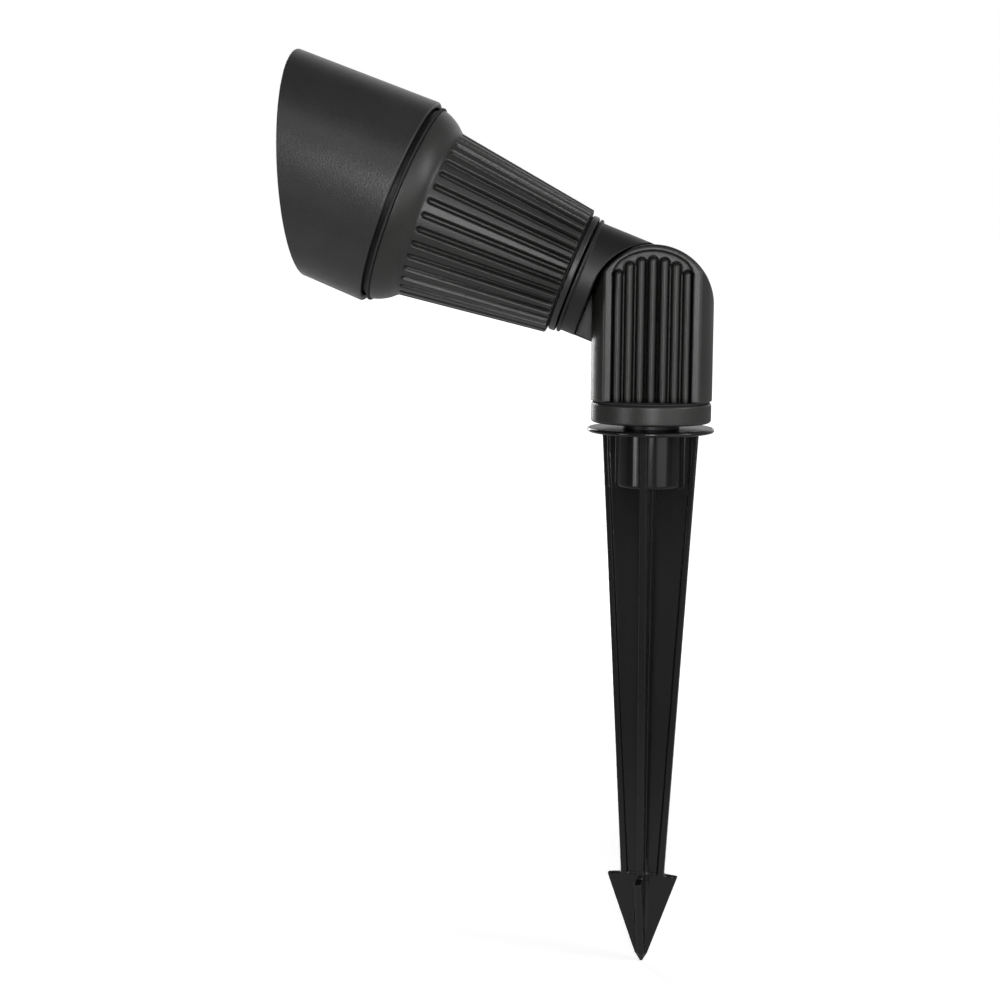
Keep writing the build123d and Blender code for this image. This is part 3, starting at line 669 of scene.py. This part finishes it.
def make_rings():
    collar = ring(STEM_HOLE_R, COLLAR_R, COLLAR_FOOT, COLLAR_TOP, COLLAR_ROUND)
    turned("base_collar_ring", collar, WORLD, "base_collar")
    collar_seal = ring(STEM_HOLE_R, COLLAR_SEAL_R, COLLAR_TOP, COLLAR_SEAL_TOP, SEAL_ROUND)
    turned("collar_seal", collar_seal, WORLD, "collar_gasket")
    neck_ring = ring(SPIGOT_HOLE_R, NECK_RING_R, NECK_RING_REAR, NECK_RING_FRONT, NECK_RING_ROUND)
    turned("neck_ring", neck_ring, HEAD, "neck_lock_ring")
    neck_seal = ring(SPIGOT_HOLE_R, NECK_SEAL_R, NECK_RING_FRONT, HOUSING_REAR, SEAL_ROUND)
    turned("neck_seal", neck_seal, HEAD, "neck_gasket")
    lip = ring(LIP_INNER_R, LIP_R, LIP_REAR, LIP_FRONT, LIP_ROUND)
    turned("cowl_lip", lip, HEAD, "lip_seal")


# ---- All pieces: a casting's voxels in millimetres, and its smoothing passes ----
make_cowl()
make_housing()
make_rings()
cast("knuckle_base_casting", "lower_knuckle", voxel=0.22, passes=4, reshape=slimmer_ribs)
cast("knuckle_neck_casting", "upper_knuckle", voxel=0.25, passes=5)
cast("spike_moulding", "stake", voxel=0.25, passes=4, reshape=rounder_flange)


# ---- Stage ----
FLOOR_SIZE = 30         # metres
FLOOR_DROP = 0.0002     # metres between the tip and the floor
FLOOR_ROUGHNESS = 0.9
DARK_FLOOR = 0.30
PALE_FLOOR = 0.82
DARK_UP_TO = -0.32      # where the floor stops being dark, in metres of Y
PALE_FROM = -0.12       # where it is all pale
NEAR_GLOW = 0.55        # how white the floor looks by itself at the tip
WHITE_FROM = 0.15       # metres from the tip
WHITE_AT = 0.6
DIM_ROOM = 0.02         # what the room around the object gives it
BRIGHT_WALL = 0.35      # on the right
WALL_FROM = 0.0         # directions, as their X or Y
WALL_AT = 0.7
BRIGHT_BACK = 1.0
BACK_FROM = 0.55
BACK_AT = 0.97
LIGHT_DISTANCE = 1.2
STRIP = (0.3, 0.6)      # widths and heights of the lights, in metres
TALL_STRIP = (0.25, 0.8)
WIDE_STRIP = (1.4, 0.2)
BROAD_STRIP = (0.8, 0.8)


def make_stage():
    floor_z = cad_low.z
    bpy.ops.mesh.primitive_plane_add(size=FLOOR_SIZE, location=(0, 0, floor_z - FLOOR_DROP))
    floor = bpy.context.object
    floor.name = "floor"
    material, nodes, links, shader = new_material("floor")
    place = object_coordinates(nodes, links, (0.001, 0.001, 0.001))
    sides = nodes.new("ShaderNodeSeparateXYZ")
    links.new(place, sides.inputs["Vector"])
    # Pale under and behind the object, and dark in front of it, where it would only mirror in it.
    nearness = spread(nodes, links, sides.outputs["Y"], 0.0, 1.0, first=DARK_UP_TO, last=PALE_FROM)
    tone = ramp(nodes, links, nearness, 0.0, 1.0, grey(DARK_FLOOR), grey(PALE_FLOOR))
    links.new(tone, shader.inputs["Base Color"])
    shader.inputs["Roughness"].default_value = FLOOR_ROUGHNESS
    # The floor looks white to the camera everywhere but round the tip, where it keeps the shadow.
    seen = nodes.new("ShaderNodeLightPath")
    length = nodes.new("ShaderNodeVectorMath")
    length.operation = "LENGTH"
    links.new(place, length.inputs[0])
    glow = spread(nodes, links, length.outputs["Value"], NEAR_GLOW, 1.0, first=WHITE_FROM, last=WHITE_AT)
    strength = nodes.new("ShaderNodeMath")
    strength.operation = "MULTIPLY"
    links.new(glow, strength.inputs[0])
    links.new(seen.outputs["Is Camera Ray"], strength.inputs[1])
    shader.inputs["Emission Color"].default_value = (1, 1, 1, 1)
    links.new(strength.outputs[0], shader.inputs["Emission Strength"])
    floor.data.materials.append(material)


def make_world():
    world = bpy.data.worlds.new("studio")
    world.use_nodes = True
    bpy.context.scene.world = world
    nodes = world.node_tree.nodes
    links = world.node_tree.links
    background = nodes["Background"]
    seen = nodes.new("ShaderNodeLightPath")
    direct = nodes.new("ShaderNodeMath")
    direct.operation = "MAXIMUM"
    links.new(seen.outputs["Is Camera Ray"], direct.inputs[0])
    links.new(seen.outputs["Is Transmission Ray"], direct.inputs[1])
    # The object gets a bright wall on the right, a brighter one behind and a dim room elsewhere.
    where = nodes.new("ShaderNodeTexCoord")
    sides = nodes.new("ShaderNodeSeparateXYZ")
    links.new(where.outputs["Generated"], sides.inputs["Vector"])
    wall = spread(nodes, links, sides.outputs["X"], DIM_ROOM, BRIGHT_WALL, first=WALL_FROM, last=WALL_AT)
    back = spread(nodes, links, sides.outputs["Y"], DIM_ROOM, BRIGHT_BACK, first=BACK_FROM, last=BACK_AT)
    room = nodes.new("ShaderNodeMath")
    room.operation = "MAXIMUM"
    links.new(wall, room.inputs[0])
    links.new(back, room.inputs[1])
    level = nodes.new("ShaderNodeMath")
    level.operation = "MAXIMUM"
    links.new(direct.outputs[0], level.inputs[0])
    links.new(room.outputs[0], level.inputs[1])
    links.new(level.outputs[0], background.inputs["Strength"])
    background.inputs["Color"].default_value = (1, 1, 1, 1)


def make_light(name, azimuth, elevation, size, power):
    """An area light about the pivot; azimuth 0 is the camera's side and 90 the right."""
    a = radians(azimuth)
    e = radians(elevation)
    away = Vector((sin(a) * cos(e), -cos(a) * cos(e), sin(e)))
    data = bpy.data.lights.new(name, "AREA")
    data.shape = "RECTANGLE"
    data.size, data.size_y = size
    data.energy = power
    light = bpy.data.objects.new(name, data)
    light.location = PIVOT + away * LIGHT_DISTANCE
    light.rotation_euler = (-away).to_track_quat("-Z", "Y").to_euler()
    bpy.context.scene.collection.objects.link(light)


NEAREST = 0.05          # what the camera sees, in metres
FARTHEST = 100


def make_camera():
    data = bpy.data.cameras.new("camera")
    data.sensor_width = SENSOR_WIDTH
    data.lens = FOCAL_LENGTH * SENSOR_WIDTH / PHOTO_WIDTH
    data.clip_start = NEAREST
    data.clip_end = FARTHEST
    camera = bpy.data.objects.new("camera", data)
    bpy.context.scene.collection.objects.link(camera)
    bpy.context.scene.camera = camera

    def looking(azimuth, elevation):
        a = radians(azimuth)
        e = radians(elevation)
        return Vector((sin(a) * cos(e), cos(a) * cos(e), -sin(e)))

    place = PIVOT - looking(VIEW_AZIMUTH, VIEW_ELEVATION) * VIEW_DISTANCE
    ahead = looking(VIEW_AZIMUTH + PAN, VIEW_ELEVATION + TILT)
    level = Vector((cos(radians(VIEW_AZIMUTH + PAN)), -sin(radians(VIEW_AZIMUTH + PAN)), 0))
    upward = level.cross(ahead)
    right = level * cos(radians(ROLL)) + upward * sin(radians(ROLL))
    above = upward * cos(radians(ROLL)) - level * sin(radians(ROLL))
    turn = Matrix((right, above, -ahead)).transposed()
    camera.matrix_world = Matrix.Translation(place) @ turn.to_4x4()


make_stage()
make_world()
make_light("left_strip", azimuth=-50, elevation=0, size=TALL_STRIP, power=3.6)
make_light("front_strip", azimuth=3, elevation=8, size=STRIP, power=6.4)
make_light("right_strip", azimuth=42, elevation=6, size=BROAD_STRIP, power=2.8)
make_light("side_strip", azimuth=72, elevation=20, size=STRIP, power=3.2)
make_light("high_strip", azimuth=0, elevation=45, size=WIDE_STRIP, power=1.8)
make_light("back_left", azimuth=-150, elevation=10, size=TALL_STRIP, power=4.0)
make_camera()
bpy.context.scene.view_settings.view_transform = "Standard"
